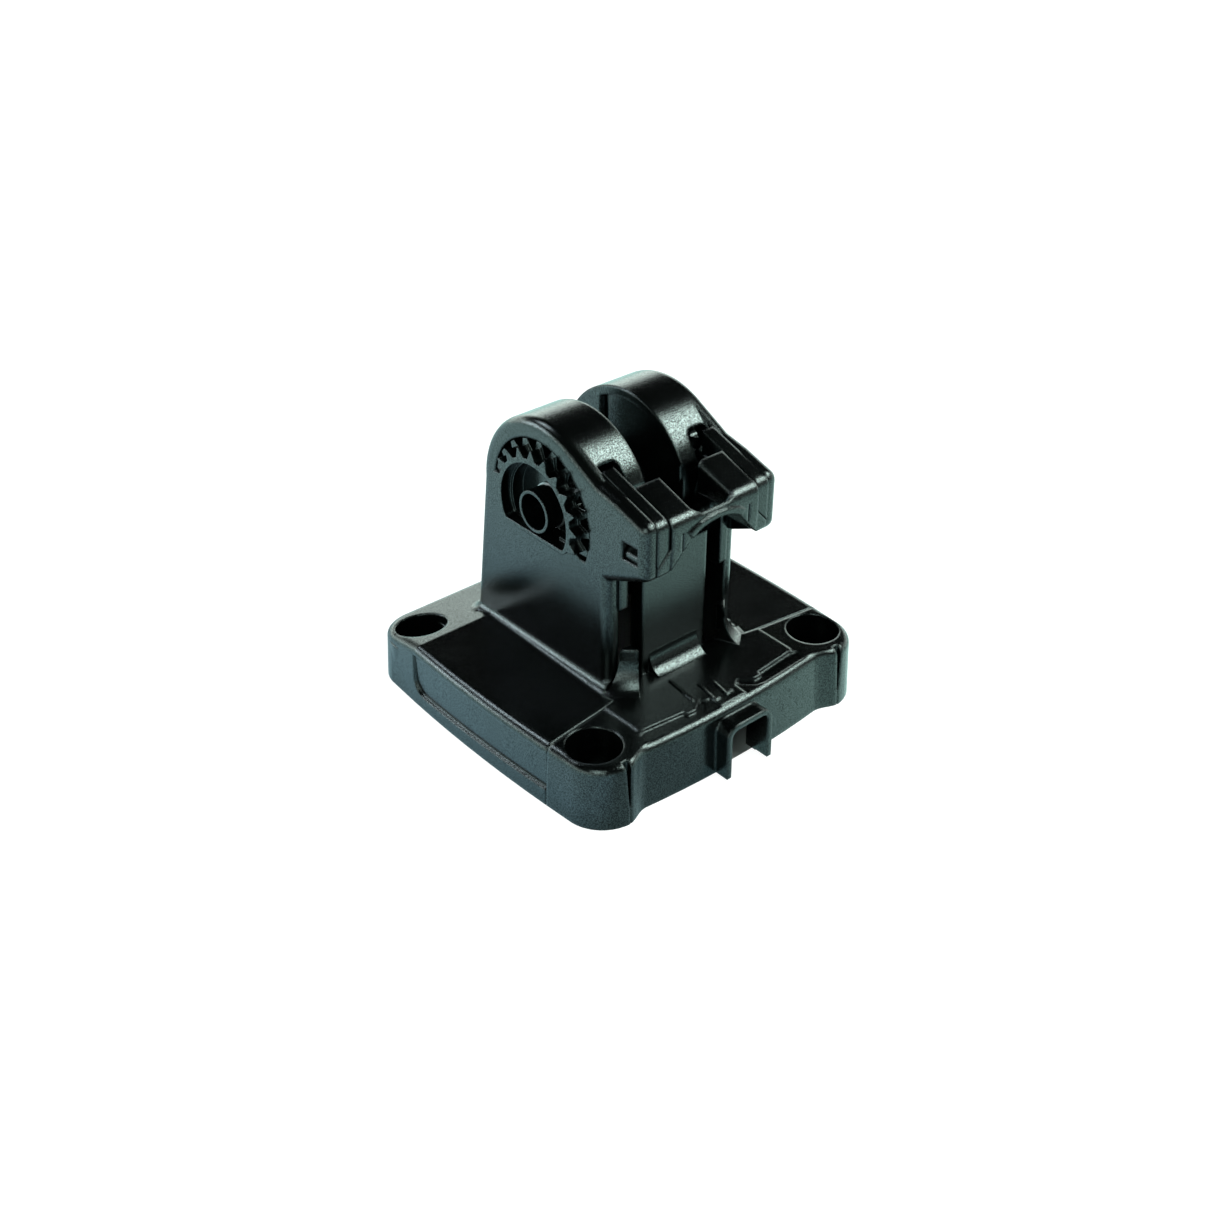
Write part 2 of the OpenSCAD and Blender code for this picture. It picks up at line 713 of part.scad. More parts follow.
// Side profile of the lever's middle.
function lever_profile() = let (f = lever_front, r = 3.5)
    concat([[lever_rear, 72], [lever_rear, brow(lever_rear) - 0.2]],
        arc(f + r, brow(f + r) - r - 0.5, r, 90 + brow_slope, 178, 5),
        [[f, 70]],
        arc(f + 2, chin_z + 2.6, 1.6, 180, 250, 3),
        [[lever_rear - 1.2, throat_z + 1.4], [lever_rear - 0.8, throat_z + 1.8],
        [lever_rear - 0.8, 60.5], [lever_rear, 61.5]]);

// Side profile of the lower cheeks that close the head under the frames.
function cheek_profile() = let (f = lever_front + 0.4)
    concat([[f, 71.4]], arc(f + 2, chin_z + 2.6, 1.6, 180, 250, 3),
        [[lever_rear - 1.2, throat_z + 1.4], [lever_rear - 0.8, throat_z + 1.8],
        [lever_rear - 0.8, 64.6], [f + 6, 65.6], [f + 6, 71.4]]);

// Keeps the cheeks clear of the frames' slanted lower edges.
module cheek_bevel() {
    translate([0, lever_rear + 8, 0]) rotate([90, 0, 0]) linear_extrude(30)
        polygon([[lever_x, kink_z(lever_x) - 0.5], [cheek_x + 1, kink_z(cheek_x + 1) - 0.5],
            [cheek_x + 1, 75], [lever_x, 75]]);
}

module lever_pocket() {
    wall = 2.6;
    front = lever_front + wall;
    translate([0, 0, 60]) linear_extrude(40) polygon(concat([[pocket_x, -10]],
        [[pocket_x, front + 1.6]], [for (i = [1 : 7]) let (t = 1 - i / 4)
            [pocket_x * t * 0.93, front + 1.1 * t * t]],
        [[-pocket_x, front + 1.6], [-pocket_x, -10]]));
}

// The arch that fingers reach through, seen from the front.
function arch_points(d) = concat([[cheek_x - 0.6 - d, 50], [cheek_x - 0.8 - d, chin_z - 0.4],
        [15.6 - d, 64.4 - d * 0.3], [11.6 - d, 69 - d * 0.5]],
    [for (i = [1 : 9]) let (a = 10 + 160 * i / 10) [10 * cos(a) * (1 - d / 10),
        arch_top - 5 - d + 5 * sin(a)]],
    [[-11.6 + d, 69 - d * 0.5], [-15.6 + d, 64.4 - d * 0.3], [-cheek_x + 0.8 + d, chin_z - 0.4],
    [-cheek_x + 0.6 + d, 50]]);

module finger_arch() {
    translate([0, lever_rear + 0.6, 0]) rotate([90, 0, 0]) linear_extrude(30) polygon(arch_points(0));
}

// Raised lip round the top of the arch.
module arch_lip() {
    outer = [for (p = arch_points(-1.6)) if (p.y > 70.5) p];
    inner = [for (p = arch_points(0)) if (p.y > 70.5) p];
    n = len(inner);
    translate([0, lever_front + 1, 0]) rotate([90, 0, 0]) linear_extrude(1.7)
        polygon(concat(outer, [for (i = [n - 1 : -1 : 0]) inner[i]]));
}

// Web from the lever's arm down to the pivot barrel.
module lever_web() {
    yz(11.5, lever_x) polygon([[lever_rear - 1, 64.6], [lever_rear - 1, 82], [lever_rear + 3, 80.5],
        [-20, 70], [-19.6, 64]]);
}

// Wedge that draws a button in as the lever is pulled.
module cam_fin() {
    x0 = fin_x;
    throw = button_travel + 0.2;
    end = fin_y + throw + 2.6;
    translate([0, 0, fin_z]) linear_extrude(2.6) polygon([[x0, lever_rear - 2], [x0, fin_y],
        [x0 - throw, fin_y + throw], [x0 - throw, end], [x0 - 0.2, end],
        [x0 + 1.4, fin_y + 1.5], [lever_x, -16], [lever_x, lever_rear - 2]]);
}

// Room for the lever spring round the barrel.
module spring_pocket() {
    yz(-spring_half, spring_half) difference() {
        translate([pivot_y, pivot_z]) circle(barrel_r + 4);
        translate([pivot_y - 20, pivot_z + barrel_r]) square([16, 20]);
    }
}

module lever_pin() {
    color("silver") translate([-inner_x + 0.3, pivot_y, pivot_z]) rotate([0, 90, 0])
        cylinder(r = pin_r, h = 2 * inner_x - 0.6);
}

// ---- ratchet buttons -----------------------------------------------------

// Outline of the toothed ring, about the hub axis; each tooth is wider by the given
// share of the pitch on both sides.
function tooth_outline(tip, root, wide) = let (foot = pitch * (0.32 + wide), top = pitch * (0.04 + wide))
    concat(
        [for (i = [0 : tooth_count - 1]) let (a = teeth_start + i * pitch) each [
            root * [cos(a - foot), sin(a - foot)], tip * [cos(a - top), sin(a - top)],
            tip * [cos(a + top), sin(a + top)], root * [cos(a + foot), sin(a + foot)]]],
        arc(0, 0, cup_r - 0.6, teeth_end + foot, teeth_start - foot, 24));

// The part of a toothed ring above the cup's flat.
module tooth_ring(x0, x1, tip, root, wide) {
    yz(x0, x1) translate([hub_y, hub_z]) intersection() {
        polygon(tooth_outline(tip, root, wide));
        translate([-big, -cup_flat]) square(2 * big);
    }
}

module ratchet_button() {
    color(black) difference() {
        union() {
            yz(floor_x, rim_x) translate([hub_y, hub_z]) polygon(cup_outline(0));
            tooth_ring(ring_x, head_x - 0.4, tip_r, root_r + 1, 0.1);
            tooth_ring(head_x - 0.6, rim_x, spike_r, root_r, 0);
            follower();
        }
        yz(floor_x + floor_t, rim_x + 1) translate([hub_y, hub_z]) {
            polygon(cup_outline(-cup_wall - 1));
            translate([-7.2, cup_wall - cup_flat]) square([14.4, 5]);
        }
        yz(rim_x - 3.4, rim_x + 1) translate([hub_y, hub_z]) polygon(cup_outline(-cup_wall));
        translate([0, hub_y, hub_z]) rotate([0, 90, 0]) cylinder(r = sleeve_r + running_gap, h = big);
    }
}

// Arm and lug that the lever's wedge acts on.
module follower() {
    lug_x = fin_x - 0.5;
    stem_z = fin_z - 3.4;
    translate([lug_x - 1.2, fin_y - 3.7, stem_z]) cube([ring_x - lug_x + 1.4, 5, 2.6]);
    translate([lug_x - 1.2, fin_y - 3.1, stem_z]) cube([1.2, 2.9, 5.8]);
}

module ratchet_button_left() {
    mirror([1, 0, 0]) ratchet_button();
}

module ratchet_button_right() {
    ratchet_button();
}

module hub_sleeve() {
    color("dimgray") translate([slot_x + dish_depth, hub_y, hub_z]) rotate([0, 90, 0]) difference() {
        cylinder(r = sleeve_r, h = rim_x - 0.2 - slot_x - dish_depth);
        translate([0, 0, -1]) cylinder(r = sleeve_r - sleeve_wall, h = big);
        translate([0, 0, clip_x - slot_x - dish_depth]) difference() {
            cylinder(r = sleeve_r + 1, h = clip_t);
            cylinder(r = sleeve_r - clip_seat, h = 3 * clip_t, center = true);
        }
    }
}

module hub_sleeve_left() {
    mirror([1, 0, 0]) hub_sleeve();
}

module hub_sleeve_right() {
    hub_sleeve();
}

// Split ring that holds each button on its sleeve.
module sleeve_clips() {
    color("silver") both_sides() yz(clip_x, clip_x + clip_t) translate([hub_y, hub_z]) difference() {
        circle(sleeve_r + 0.4);
        circle(sleeve_r - clip_seat);
        translate([-1.5, -big]) square([3, big]);
    }
}

// Round wire along a path, as one unbroken tube.
module wire(path, r) {
    n = len(path);
    rings = [for (i = [0 : n - 1])
        let (t = unit(path[min(i + 1, n - 1)] - path[max(i - 1, 0)]),
            u = unit(cross(t, [1, 0.02, 0.03])), v = cross(t, u))
        [for (k = [0 : 5]) path[i] + r * (u * cos(60 * k) + v * sin(60 * k))]];
    skin(rings);
}

module button_spring() {
    x0 = bore_x + spring_wire + 0.1;
    x1 = floor_x - spring_wire - 0.1;
    steps = spring_turns * 16;
    color("silver") wire([for (i = [0 : steps]) let (a = 360 * spring_turns * i / steps)
        [x0 + (x1 - x0) * i / steps, hub_y + spring_r * cos(a), hub_z + spring_r * sin(a)]],
        spring_wire);
}

module button_spring_left() {
    mirror([1, 0, 0]) button_spring();
}

module button_spring_right() {
    button_spring();
}

// Torsion spring round the pivot pin, with a leg on the drums and a leg on the lever.
module lever_spring() {
    turns = 4;
    r = pin_r + 0.4 + torsion_wire;
    half = spring_half - torsion_wire - 0.4;
    steps = turns * 14;
    coil = [for (i = [0 : steps]) let (a = -30 + (360 * turns + 90) * i / steps)
        [-half + 2 * half * i / steps, pivot_y + r * cos(a), pivot_z + r * sin(a)]];
    color("silver") wire(coil, torsion_wire);
}

// Screws that tie the two shells together from below.
module shell_screws() {
    color("silver") difference() {
        union() {
            at_ties(flange_z - 2) cylinder(r = shell_head_r, h = 2);
            at_ties(flange_z - 1) cylinder(r = shell_screw_r, h = base_h - deck_t - 1.5 - flange_z + 1);
        }
        at_ties(flange_z - 2.2) cylinder(r = 1, h = 1.2, $fn = 6);
    }
}

rear_shell();
front_shell();
side_frame_left();
side_frame_right();
release_lever();
lever_pin();
lever_spring();
ratchet_button_left();
ratchet_button_right();
button_spring_left();
button_spring_right();
hub_sleeve_left();
hub_sleeve_right();
sleeve_clips();
shell_screws();
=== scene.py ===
import math

import bmesh
import bpy
import numpy as np
from mathutils import Matrix, Vector


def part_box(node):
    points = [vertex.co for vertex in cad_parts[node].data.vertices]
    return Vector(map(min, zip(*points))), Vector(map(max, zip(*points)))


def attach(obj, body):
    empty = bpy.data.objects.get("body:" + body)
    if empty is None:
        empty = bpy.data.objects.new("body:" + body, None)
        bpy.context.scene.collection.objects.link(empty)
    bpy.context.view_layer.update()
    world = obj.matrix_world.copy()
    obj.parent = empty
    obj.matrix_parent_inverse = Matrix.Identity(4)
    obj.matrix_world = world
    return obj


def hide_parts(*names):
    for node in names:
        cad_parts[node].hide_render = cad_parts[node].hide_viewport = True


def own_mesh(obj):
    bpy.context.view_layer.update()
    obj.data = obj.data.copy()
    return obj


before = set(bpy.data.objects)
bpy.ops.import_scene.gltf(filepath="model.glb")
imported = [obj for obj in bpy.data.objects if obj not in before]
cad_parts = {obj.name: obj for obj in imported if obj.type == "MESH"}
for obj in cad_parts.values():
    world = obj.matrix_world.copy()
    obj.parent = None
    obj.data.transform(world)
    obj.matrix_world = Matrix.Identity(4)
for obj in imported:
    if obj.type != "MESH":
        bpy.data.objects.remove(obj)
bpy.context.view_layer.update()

scene = bpy.context.scene
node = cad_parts

# The camera stands to the left of the lever side and looks down on the mount,
# from a little under half a metre away, through a normal lens.
lens_turn = math.radians(40.725)
lens_fall = math.radians(33.369)
ahead = Vector((math.sin(lens_turn) * math.cos(lens_fall), math.cos(lens_turn) * math.cos(lens_fall),
                -math.sin(lens_fall)))
right = Vector((math.cos(lens_turn), -math.sin(lens_turn), 0.0))
above = right.cross(ahead)
eye = Vector((-0.25804, -0.29569, 0.28443))
film_width, frame_width, focal_length = 36.0, 1214, 1570.5
camera = bpy.data.objects.new("camera", bpy.data.cameras.new("camera"))
camera.data.sensor_width = film_width
camera.data.lens = focal_length / frame_width * film_width
camera.data.clip_start = 0.01
camera.matrix_world = Matrix.Translation(eye) @ Matrix((right, above, -ahead)).transposed().to_4x4()
scene.collection.objects.link(camera)
scene.camera = camera
scene.view_settings.view_transform = "Standard"

# The table is a pale matt sheet. Black mouldings show their shape in what they mirror, so the
# sheet shines to a glossy ray, in a sheen that changes from left to right, and is white to the
# lens. It does neither under the mount, whose footprint is a rounded square.
table_half = 3.0
corners = table_half * np.array([[-1, -1, 0], [1, -1, 0], [1, 1, 0], [-1, 1, 0]])
sheet_mesh = bpy.data.meshes.new("table")
sheet_mesh.from_pydata(corners.tolist(), [], [(0, 1, 2, 3)])
table = bpy.data.objects.new("table", sheet_mesh)
scene.collection.objects.link(table)


def maths(nodes, operation, number=None):
    """One sum on a value: the operation, with its second number where that is fixed."""
    step = nodes.new("ShaderNodeMath")
    step.operation = operation
    if number is not None:
        step.inputs[1].default_value = number
    return step


def map_range(nodes, start, end):
    """Carries a value in proportion from the range start to the range end, held at both ends."""
    carry = nodes.new("ShaderNodeMapRange")
    carry.inputs["From Min"].default_value, carry.inputs["From Max"].default_value = start
    carry.inputs["To Min"].default_value, carry.inputs["To Max"].default_value = end
    return carry


white_sheet = bpy.data.materials.new("white sheet")
white_sheet.use_nodes = True
nodes, links = white_sheet.node_tree.nodes, white_sheet.node_tree.links
nodes.clear()
matt = nodes.new("ShaderNodeBsdfDiffuse")
matt.inputs["Color"].default_value = (0.25, 0.25, 0.25, 1)
ray = nodes.new("ShaderNodeLightPath")
place = nodes.new("ShaderNodeTexCoord")
split = nodes.new("ShaderNodeSeparateXYZ")
links.new(place.outputs["Object"], split.inputs[0])
footprint_halves = (("X", 0.053), ("Y", 0.052))
squareness = 6.0
reach = maths(nodes, "ADD")
for i, (axis, half) in enumerate(footprint_halves):
    share = maths(nodes, "DIVIDE", half)
    raised = maths(nodes, "POWER", squareness)
    links.new(split.outputs[axis], share.inputs[0])
    links.new(share.outputs[0], raised.inputs[0])
    links.new(raised.outputs[0], reach.inputs[i])
open_air = maths(nodes, "GREATER_THAN", 1.0)
links.new(reach.outputs[0], open_air.inputs[0])
across = map_range(nodes, (-0.12, 0.08), (0.0, 1.0))
links.new(split.outputs["X"], across.inputs["Value"])
sheen = nodes.new("ShaderNodeValToRGB")
sheen.color_ramp.elements[0].color = (0.85, 1.35, 1.35, 1)
sheen.color_ramp.elements[1].color = (0.7, 1.2, 1.1, 1)
for at, shade in ((0.3, (0.56, 0.98, 1.15)), (0.36, (0.2, 0.4, 0.44)), (0.55, (0.2, 0.4, 0.44)),
                  (0.72, (0.62, 1.05, 1.0))):
    sheen.color_ramp.elements.new(at).color = (*shade, 1)
links.new(across.outputs["Result"], sheen.inputs["Fac"])
surface = matt.outputs[0]
for kind in ("Is Camera Ray", "Is Glossy Ray"):
    glow = nodes.new("ShaderNodeEmission")
    if kind == "Is Camera Ray":
        glow.inputs["Color"].default_value = (0.92, 0.92, 0.92, 1)
    else:
        links.new(sheen.outputs["Color"], glow.inputs["Color"])
    seen = maths(nodes, "MULTIPLY")
    both = nodes.new("ShaderNodeAddShader")
    links.new(ray.outputs[kind], seen.inputs[0])
    links.new(open_air.outputs[0], seen.inputs[1])
    links.new(seen.outputs[0], glow.inputs["Strength"])
    links.new(surface, both.inputs[0])
    links.new(glow.outputs[0], both.inputs[1])
    surface = both.outputs[0]
out = nodes.new("ShaderNodeOutputMaterial")
links.new(surface, out.inputs["Surface"])
table.data.materials.append(white_sheet)

# Round the table the studio is bright in a band low on the horizon and dark above it. The band
# is weaker in front of the mount than behind it, so that the faces that look forward stay
# black. The lens sees plain white.
studio = bpy.data.worlds.new("studio")
scene.world = studio
studio.use_nodes = True
nodes, links = studio.node_tree.nodes, studio.node_tree.links
nodes.clear()
place = nodes.new("ShaderNodeTexCoord")
split = nodes.new("ShaderNodeSeparateXYZ")
fall = nodes.new("ShaderNodeValToRGB")
horizon, overhead = fall.color_ramp.elements
horizon.color = (0.85, 1, 0.93, 1)
overhead.color = (0.004, 0.004, 0.004, 1)
for at, grey in ((0.28, 0.95), (0.35, 0.03), (0.42, 0.003)):
    fall.color_ramp.elements.new(at).color = (0.87 * grey, grey, 0.94 * grey, 1)
rearward = map_range(nodes, (-0.8, -0.2), (0.4, 3.0))
backdrop = nodes.new("ShaderNodeBackground")
white = nodes.new("ShaderNodeBackground")
white.inputs["Color"].default_value = (1, 1, 1, 1)
white.inputs["Strength"].default_value = 1.0
ray = nodes.new("ShaderNodeLightPath")
pick = nodes.new("ShaderNodeMixShader")
out = nodes.new("ShaderNodeOutputWorld")
links.new(place.outputs["Generated"], split.inputs[0])
links.new(split.outputs["Z"], fall.inputs["Fac"])
links.new(fall.outputs["Color"], backdrop.inputs["Color"])
links.new(split.outputs["Y"], rearward.inputs["Value"])
links.new(rearward.outputs["Result"], backdrop.inputs["Strength"])
links.new(ray.outputs["Is Camera Ray"], pick.inputs["Fac"])
links.new(backdrop.outputs[0], pick.inputs[1])
links.new(white.outputs[0], pick.inputs[2])
links.new(pick.outputs[0], out.inputs["Surface"])

# Four soft boxes hang round the hub. The one at the front right gives the highlights on the
# drums and the lever's brow, and the others light the left faces, the rear deck and the rims.
hub_height = 0.05


def soft_box(name, towards, distance, width, height, radiance, tint):
    """A rectangular lamp that faces the hub from the given direction; its power is its
    radiance times pi times its area."""
    lamp = bpy.data.lights.new(name, "AREA")
    lamp.shape = "RECTANGLE"
    lamp.size, lamp.size_y = width, height
    lamp.energy = radiance * math.pi * width * height
    lamp.color = tint
    holder = bpy.data.objects.new(name, lamp)
    direction = Vector(towards).normalized()
    holder.location = Vector((0, 0, hub_height)) + direction * distance
    holder.rotation_euler = direction.to_track_quat("Z", "Y").to_euler()
    scene.collection.objects.link(holder)


soft_box("front right box", (0.545, -0.4035, 0.734), 1.2, 0.8, 0.5, 14.5, (0.86, 1.0, 0.93))
soft_box("left rear box", (-0.55, 0.63, 0.2), 1.3, 0.5, 0.3, 9.0, (0.8, 0.92, 1.0))
soft_box("rear box", (-0.2, 0.63, 0.75), 1.3, 0.38, 0.38, 10.0, (0.84, 0.94, 1.0))
soft_box("left front box", (-0.62, -0.5, 0.56), 1.4, 0.6, 0.7, 6.0, (0.82, 1.0, 0.93))

# The rear shell is one injection moulding in glass-filled black nylon: half the base,
# the pedestal and the two drums. Its outside has the fine grain of a spark-eroded mould,
# and its rounded edges are painted a little paler, as a highlight.


def moulded_black(name, roughness, grain, edge):
    """Black moulded plastic. A noise far finer than the piece is its grain, as relief and as
    small changes of gloss, and a broad noise shifts its roughness. The angle between the true
    normal and that of a rounded edge marks where the black is painted paler, as a highlight."""
    skin = bpy.data.materials.new(name)
    skin.use_nodes = True
    nodes, links = skin.node_tree.nodes, skin.node_tree.links
    shader = nodes["Principled BSDF"]
    shader.inputs["IOR"].default_value = 1.5
    shader.inputs["Specular Tint"].default_value = (0.88, 1.0, 1.0, 1)
    place = nodes.new("ShaderNodeTexCoord")
    round_edge = nodes.new("ShaderNodeBevel")
    round_edge.samples = 6
    round_edge.inputs["Radius"].default_value = edge
    fine = nodes.new("ShaderNodeTexNoise")
    fine.inputs["Scale"].default_value = 2700.0
    fine.inputs["Detail"].default_value = 2.0
    relief = nodes.new("ShaderNodeBump")
    relief.inputs["Strength"].default_value = grain
    relief.inputs["Distance"].default_value = 0.00004
    glint = map_range(nodes, (0.35, 0.65), (0.18, 0.82))
    links.new(place.outputs["Object"], fine.inputs["Vector"])
    links.new(fine.outputs["Fac"], relief.inputs["Height"])
    links.new(fine.outputs["Fac"], glint.inputs["Value"])
    links.new(glint.outputs["Result"], shader.inputs["Specular IOR Level"])
    links.new(round_edge.outputs["Normal"], relief.inputs["Normal"])
    links.new(relief.outputs["Normal"], shader.inputs["Normal"])

    broad = nodes.new("ShaderNodeTexNoise")
    broad.inputs["Scale"].default_value = 55.0
    broad.inputs["Detail"].default_value = 4.0
    rough = map_range(nodes, (0.3, 0.7), (roughness - 0.02, roughness + 0.03))
    links.new(place.outputs["Object"], broad.inputs["Vector"])
    links.new(broad.outputs["Fac"], rough.inputs["Value"])
    links.new(rough.outputs["Result"], shader.inputs["Roughness"])

    carbon_black = np.array((0.0008, 0.001, 0.001))
    # A painted highlight: the rounded edges are coloured paler than the flat black, standing in for
    # the light they catch; the moulding is not worn there.
    edge_highlight_gain = 2.2
    geometry = nodes.new("ShaderNodeNewGeometry")
    turn = nodes.new("ShaderNodeVectorMath")
    turn.operation = "DOT_PRODUCT"
    edge_highlight = map_range(nodes, (0.995, 0.8), (0.0, 1.0))
    tone = nodes.new("ShaderNodeMix")
    tone.data_type = "RGBA"
    tone.inputs["A"].default_value = (*carbon_black, 1)
    tone.inputs["B"].default_value = (*carbon_black * edge_highlight_gain, 1)
    links.new(geometry.outputs["Normal"], turn.inputs[0])
    links.new(round_edge.outputs["Normal"], turn.inputs[1])
    links.new(turn.outputs["Value"], edge_highlight.inputs["Value"])
    links.new(edge_highlight.outputs["Result"], tone.inputs["Factor"])
    links.new(tone.outputs["Result"], shader.inputs["Base Color"])
    return skin


def finish(mesh, skin):
    """Gives a mesh one finish over all its faces."""
    mesh.materials.clear()
    mesh.materials.append(skin)
    mesh.polygons.foreach_set("material_index", np.zeros(len(mesh.polygons), np.int32))


grained_black = moulded_black("grained black nylon", roughness=0.175, grain=0.9, edge=0.0012)
finish(node["rear_shell"].data, grained_black)

# The front shell is a second moulding of the same nylon, with the deck ahead of the
# pedestal, the wall under the lever and the cable hood. Screws from below tie the two.
finish(node["front_shell"].data, grained_black)

# Three smooth fillets, moulded in one with the front shell, ease its upright parts into its
# deck: a long hollow one at the foot of the wall, and a flare at the foot of each corner rib.
# Their own edges are left almost sharp, so that they run into the shell without a pale line.
deck_height, wall_front = 0.020, -0.0252
foot_radius, foot_half_length, buried = 0.007, 0.0092, 0.0003
flare_spread, flare_height = 0.0068, 0.0122
quarter_turn = np.linspace(0, math.pi / 2, 33)


def lofted(name, rings):
    """Closed outlines with equally many points, joined to each other by quads in the order
    given and shut by a cap at each end."""
    points = np.array(rings, float)
    count, rim = points.shape[:2]
    row, here = np.arange(count - 1)[:, None] * rim, np.arange(rim)[None, :]
    after = (here + 1) % rim
    quads = np.stack((row + here, row + after, row + rim + after, row + rim + here), axis=2)
    caps = [list(range(rim))[::-1], list(range((count - 1) * rim, count * rim))]
    mesh = bpy.data.meshes.new(name)
    mesh.from_pydata(points.reshape(-1, 3).tolist(), [], quads.reshape(-1, 4).tolist() + caps)
    shape = bmesh.new()
    shape.from_mesh(mesh)
    bmesh.ops.recalc_face_normals(shape, faces=shape.faces)
    shape.to_mesh(mesh)
    shape.free()
    piece = bpy.data.objects.new(name, mesh)
    scene.collection.objects.link(piece)
    return piece


def hollow_profile(x):
    """A quarter circle, hollow towards the front, from the deck up to the wall, closed through
    a corner that is buried in both."""
    y = wall_front - foot_radius * (1 - np.sin(quarter_turn))
    z = deck_height + foot_radius * (1 - np.cos(quarter_turn))
    y = np.concatenate((y, [wall_front + buried, wall_front + buried, wall_front - foot_radius]))
    z = np.concatenate((z, [deck_height + foot_radius, deck_height - buried, deck_height - buried]))
    return np.stack((np.full_like(y, x), y, z), axis=1)


def rib_flare(side):
    """The rib's plan, a wedge whose outer face looks forward and out, is spread at the deck by
    the flare's spread, and less with height along a quarter ellipse of the flare's height."""
    plan = np.array([[0.0203, -0.0250], [0.01675, -0.0250], [0.01675, -0.0290], [0.0203, -0.0252]])
    lean = np.array([[1.0, 0], [0, 0], [0.57, -0.8], [0.79, -0.74]])
    spread = flare_spread * (1 - np.sin(quarter_turn))
    height = deck_height + flare_height * (1 - np.cos(quarter_turn))
    corners = plan[None, :, :] + spread[:, None, None] * lean[None, :, :]
    levels = np.concatenate((corners, np.repeat(height[:, None, None], 4, axis=1)), axis=2)
    levels[:, :, 0] *= side
    return levels


fillet_black = moulded_black("fillet black nylon", roughness=0.175, grain=0.9, edge=0.0002)
foot_ends = [hollow_profile(x) for x in (-foot_half_length, foot_half_length)]
for name, rings in (("wall_foot_fillet", foot_ends), ("rib_flare_left", rib_flare(-1)),
                    ("rib_flare_right", rib_flare(1))):
    piece = lofted(name, rings)
    piece.data.shade_smooth()
    piece.data.set_sharp_from_angle(angle=math.radians(40))
    finish(piece.data, fillet_black)
    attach(piece, "mount")

# The side frames are two thin mouldings of the same nylon, one on each cheek of the head.
# They slide on from the front, and a catch on each snaps into the window in its side.
for name in ("side_frame_left", "side_frame_right"):
    finish(node[name].data, grained_black)

# The release lever is moulded in acetal, tougher and a little smoother than the shells, and
# swings on a steel pin. A scoop for the thumb takes the middle of its brow and leaves a thin
# lip in front, which follows the rounded edge up to the shoulders.
brow_height, brow_front, brow_slope = 0.0789, -0.0396, math.tan(math.radians(18.2))


def scoop_outline(half, front, depth):
    """The scoop at one depth under the brow's plane: in plan a strip that runs off to the
    rear, with its two front corners turned on quarter circles."""
    corner, rear = 0.0026, -0.022
    turn = np.linspace(0, math.pi / 2, 13)
    x = half - corner + corner * np.cos(turn)
    y = front + corner - corner * np.sin(turn)
    x = np.concatenate(([half], x, -x[::-1], [-half]))
    y = np.concatenate(([rear], y, y[::-1], [rear]))
    return np.stack((x, y, brow_height + (y - brow_front) * brow_slope - depth), axis=1)


above_brow = scoop_outline(half=0.0076, front=-0.04025, depth=-0.004)
mouth = scoop_outline(half=0.0076, front=-0.04025, depth=0.0)
lip_foot = scoop_outline(half=0.0069, front=-0.0399, depth=0.0012)
floor = scoop_outline(half=0.0062, front=-0.0386, depth=0.0045)
scoop = lofted("thumb scoop", [above_brow, mouth, lip_foot, floor])

lever_mesh = node["release_lever"].data.copy()
weld = bmesh.new()
weld.from_mesh(lever_mesh)
bmesh.ops.remove_doubles(weld, verts=weld.verts, dist=0.000002)
weld.to_mesh(lever_mesh)
weld.free()
lever_moulding = bpy.data.objects.new("lever_moulding", lever_mesh)
scene.collection.objects.link(lever_moulding)
carve = lever_moulding.modifiers.new("scoop", "BOOLEAN")
carve.operation = "DIFFERENCE"
carve.solver = "EXACT"
carve.object = scoop
depsgraph = bpy.context.evaluated_depsgraph_get()
carved = bpy.data.meshes.new_from_object(lever_moulding.evaluated_get(depsgraph))
lever_moulding.modifiers.clear()
lever_moulding.data = carved
bpy.data.objects.remove(scoop)
lever_black = moulded_black("smooth black acetal", roughness=0.17, grain=0.8, edge=0.0013)
finish(carved, lever_black)
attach(lever_moulding, "lever")
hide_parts("release_lever")

# The toothed buttons slide in the drums' cups on open sleeves, which are pressed into the hub.
# All four are moulded in acetal, with less grain than the shells, so that they run freely.
button_black = moulded_black("button black acetal", roughness=0.18, grain=0.5, edge=0.0004)
for name in ("ratchet_button_left", "ratchet_button_right", "hub_sleeve_left", "hub_sleeve_right"):
    finish(node[name].data, button_black)

# The lever's pin and the screws are turned from stainless steel. The lever's spring and the
# rings that stop the buttons on their sleeves are wound from stainless wire, left bright.


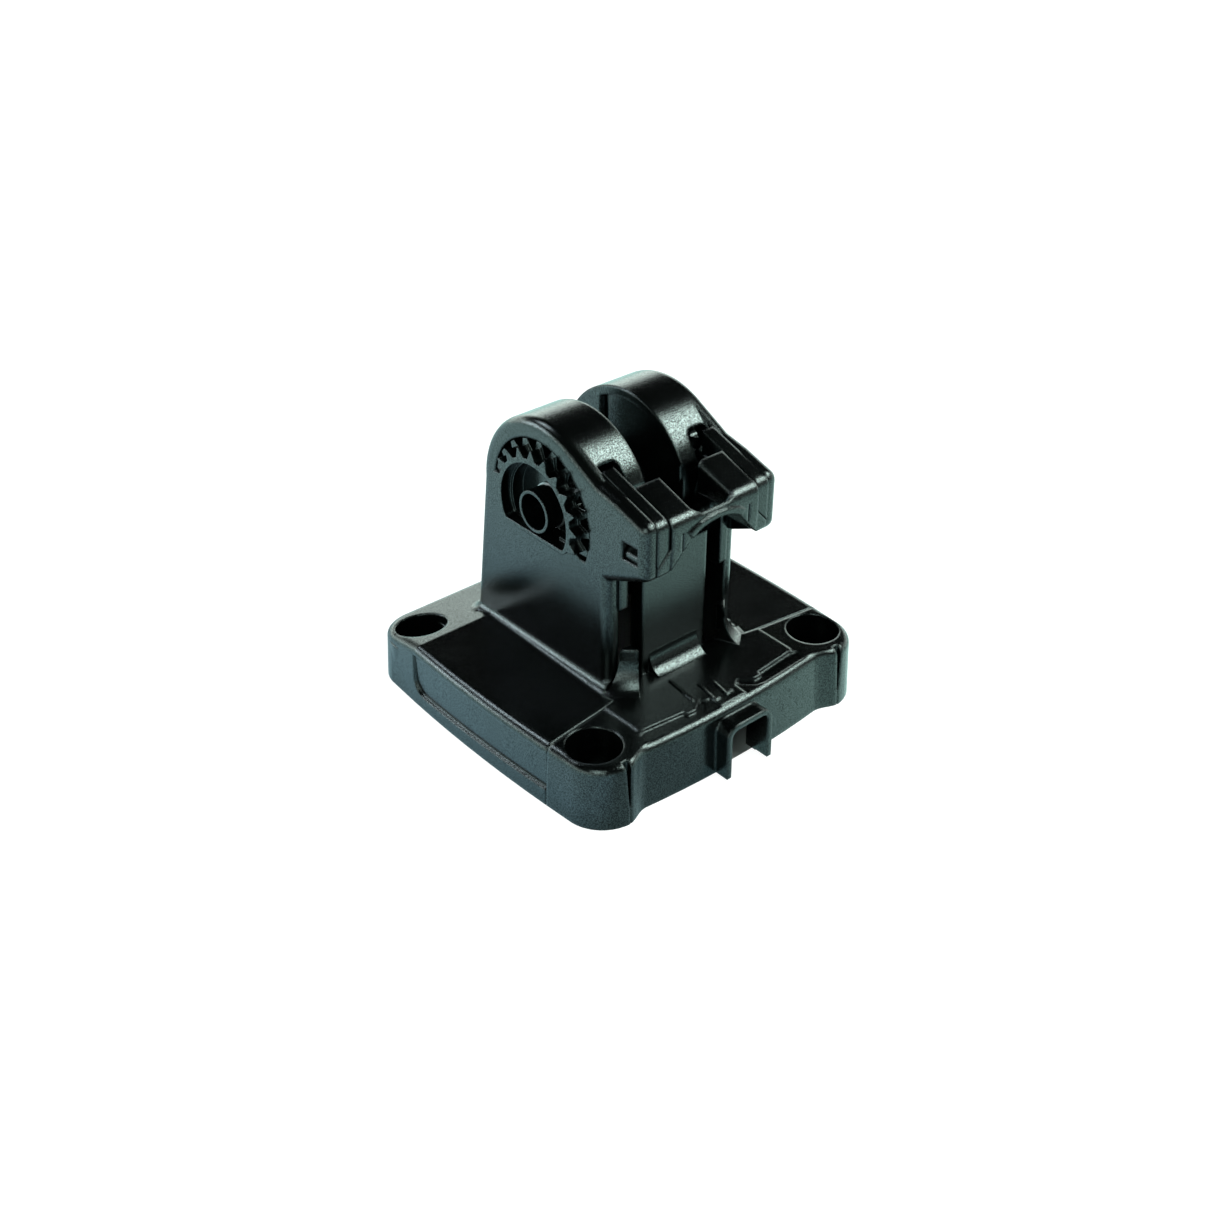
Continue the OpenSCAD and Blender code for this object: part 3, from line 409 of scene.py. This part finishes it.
def drawn_steel(name, shade, roughness):
    """Stainless steel with the fine lines of drawing: a noise fifteen times as long along the
    hub axis as across it shifts the roughness and is a faint relief."""
    steel = bpy.data.materials.new(name)
    steel.use_nodes = True
    nodes, links = steel.node_tree.nodes, steel.node_tree.links
    shader = nodes["Principled BSDF"]
    shader.inputs["Metallic"].default_value = 1.0
    shader.inputs["Base Color"].default_value = (*shade, 1)
    place = nodes.new("ShaderNodeTexCoord")
    stretch = nodes.new("ShaderNodeMapping")
    stretch.inputs["Scale"].default_value = (400, 6000, 6000)
    lines = nodes.new("ShaderNodeTexNoise")
    lines.inputs["Scale"].default_value = 1.0
    lines.inputs["Detail"].default_value = 3.0
    rough = map_range(nodes, (0.0, 1.0), (roughness - 0.08, roughness + 0.1))
    relief = nodes.new("ShaderNodeBump")
    relief.inputs["Strength"].default_value = 0.2
    relief.inputs["Distance"].default_value = 0.00002
    links.new(place.outputs["Object"], stretch.inputs["Vector"])
    links.new(stretch.outputs["Vector"], lines.inputs["Vector"])
    links.new(lines.outputs["Fac"], rough.inputs["Value"])
    links.new(rough.outputs["Result"], shader.inputs["Roughness"])
    links.new(lines.outputs["Fac"], relief.inputs["Height"])
    links.new(relief.outputs["Normal"], shader.inputs["Normal"])
    return steel


turned_steel = drawn_steel("turned stainless", (0.46, 0.46, 0.45), 0.3)
spring_wire = drawn_steel("spring wire", (0.4, 0.4, 0.4), 0.35)
for name in ("lever_pin", "shell_screws"):
    finish(node[name].data, turned_steel)
for name in ("lever_spring", "sleeve_clips"):
    finish(node[name].data, spring_wire)

# The button springs are wound of round wire with closed ends. Each stands on the hub wall
# round its sleeve and is pressed together by its button as the lever is pulled.
wire_radius, button_travel = 0.0005, 0.003


def coil_rings(name, start, end):
    """A circle of the wire's radius carried along a helix about the hub axis, between the
    sides of the node's box: round the axis it turns evenly, and along it the ends lie almost
    flat while the middle turns take up the length."""
    turns, steps, sides = 4, 240, 12
    end_part, middle_part = 0.16, 0.68
    even_climb, middle_climb = 0.06, 0.94
    (_, low_y, low_z), (_, high_y, high_z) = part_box(name)
    radius = (high_y - low_y) / 2 - wire_radius
    along = np.linspace(0, 1, steps + 1)
    angle = 2 * math.pi * turns * along
    climb = np.clip((along - end_part) / middle_part, 0, 1)
    outward = np.stack((np.zeros_like(angle), np.cos(angle), np.sin(angle)), axis=1)
    centre = np.array([0, (low_y + high_y) / 2, (low_z + high_z) / 2]) + radius * outward
    centre[:, 0] = start + (end - start) * (even_climb * along + middle_climb * climb)
    around = np.linspace(0, 2 * math.pi, sides, endpoint=False)
    ring = np.cos(around)[None, :, None] * outward[:, None, :]
    ring = ring + np.sin(around)[None, :, None] * np.array([1.0, 0, 0])[None, None, :]
    return centre[:, None, :] + wire_radius * ring


for side, sign in (("left", -1), ("right", 1)):
    name = "button_spring_" + side
    inner, outer = sorted((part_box(name)[0][0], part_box(name)[1][0]), key=abs)
    rings = coil_rings(name, inner + sign * wire_radius, outer - sign * wire_radius)
    spring = lofted(name + "_coil", rings)
    spring.data.shade_smooth()
    finish(spring.data, spring_wire)
    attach(spring, "mount")
    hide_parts(name)
    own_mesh(spring)
